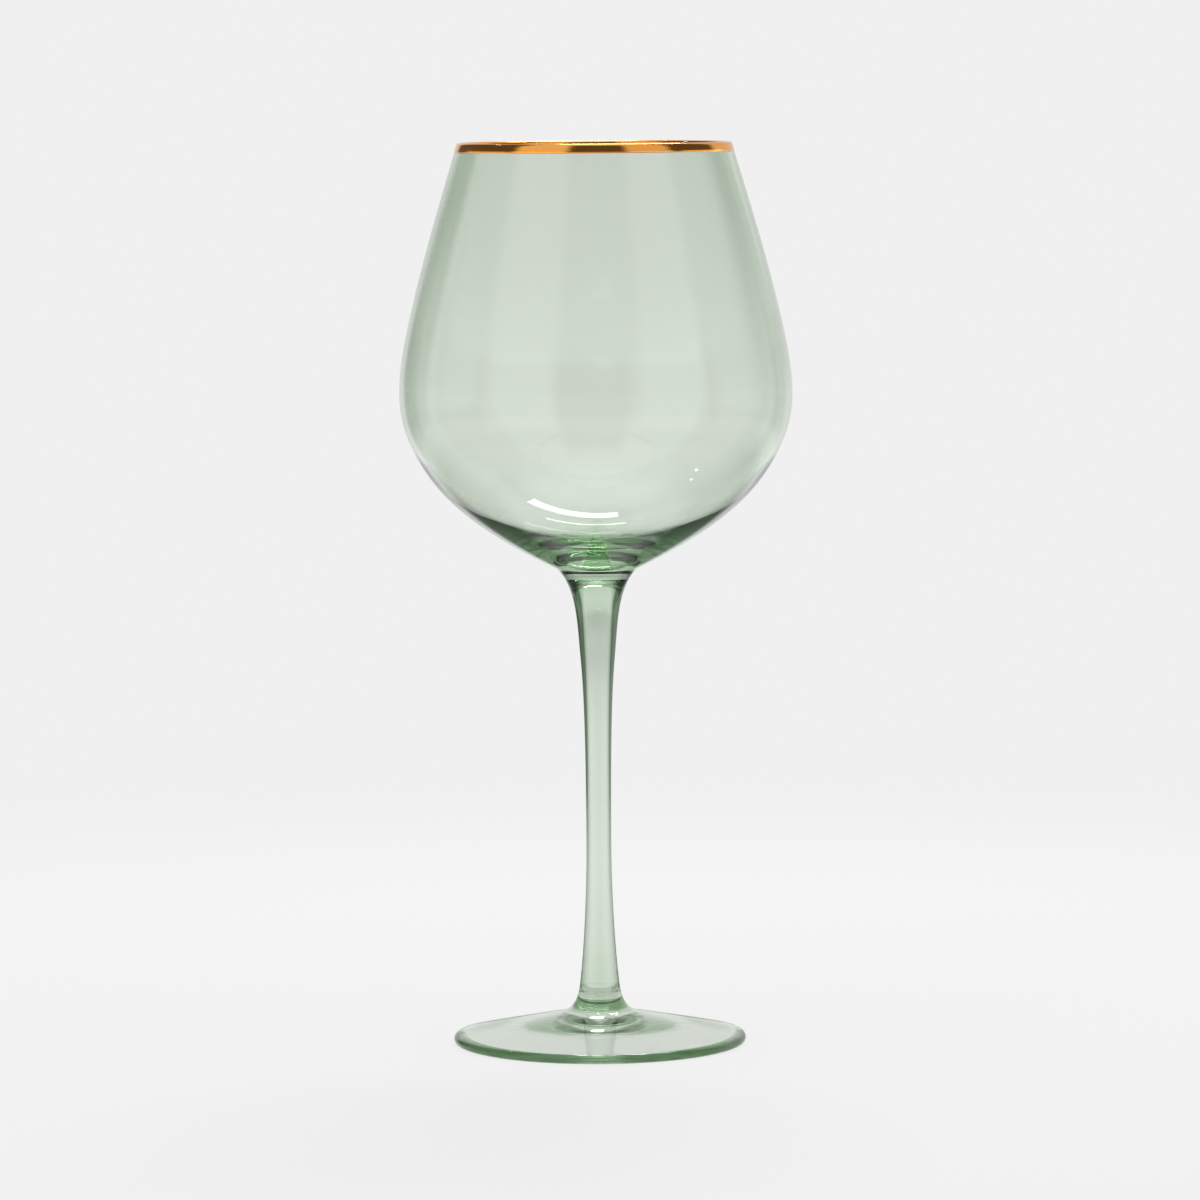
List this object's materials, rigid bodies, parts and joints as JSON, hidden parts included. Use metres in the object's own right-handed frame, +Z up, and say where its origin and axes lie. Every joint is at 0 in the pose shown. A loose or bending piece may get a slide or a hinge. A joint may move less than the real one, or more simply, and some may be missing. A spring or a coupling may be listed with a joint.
{
  "type": "wine glass",
  "caption": "Large stemmed wine glass in pale green tinted glass: a wide rounded bowl that narrows to a gold-banded lip, on a slender drawn stem and a round hollow foot.",
  "frame": {"origin": "centre of the flat ring under the foot that the glass stands on", "axes": "+Z up the stem's axis, from the foot to the mouth of the bowl; the glass is round about it"},
  "size_m": [0.0998, 0.1, 0.23],
  "materials": {
    "bowl_glass": "clear, tinted sage green, fire-polished",
    "stem_glass": "clear, tinted sage green, fire-polished",
    "foot_glass": "clear, tinted sage green, fire-polished",
    "gold_lustre": "bright fired gold lustre"
  },
  "bodies": {
    "root": {"bowl": "bowl_glass", "stem": "stem_glass", "foot": "foot_glass", "gold_rim": "gold_lustre"}
  },
  "joints": []
}
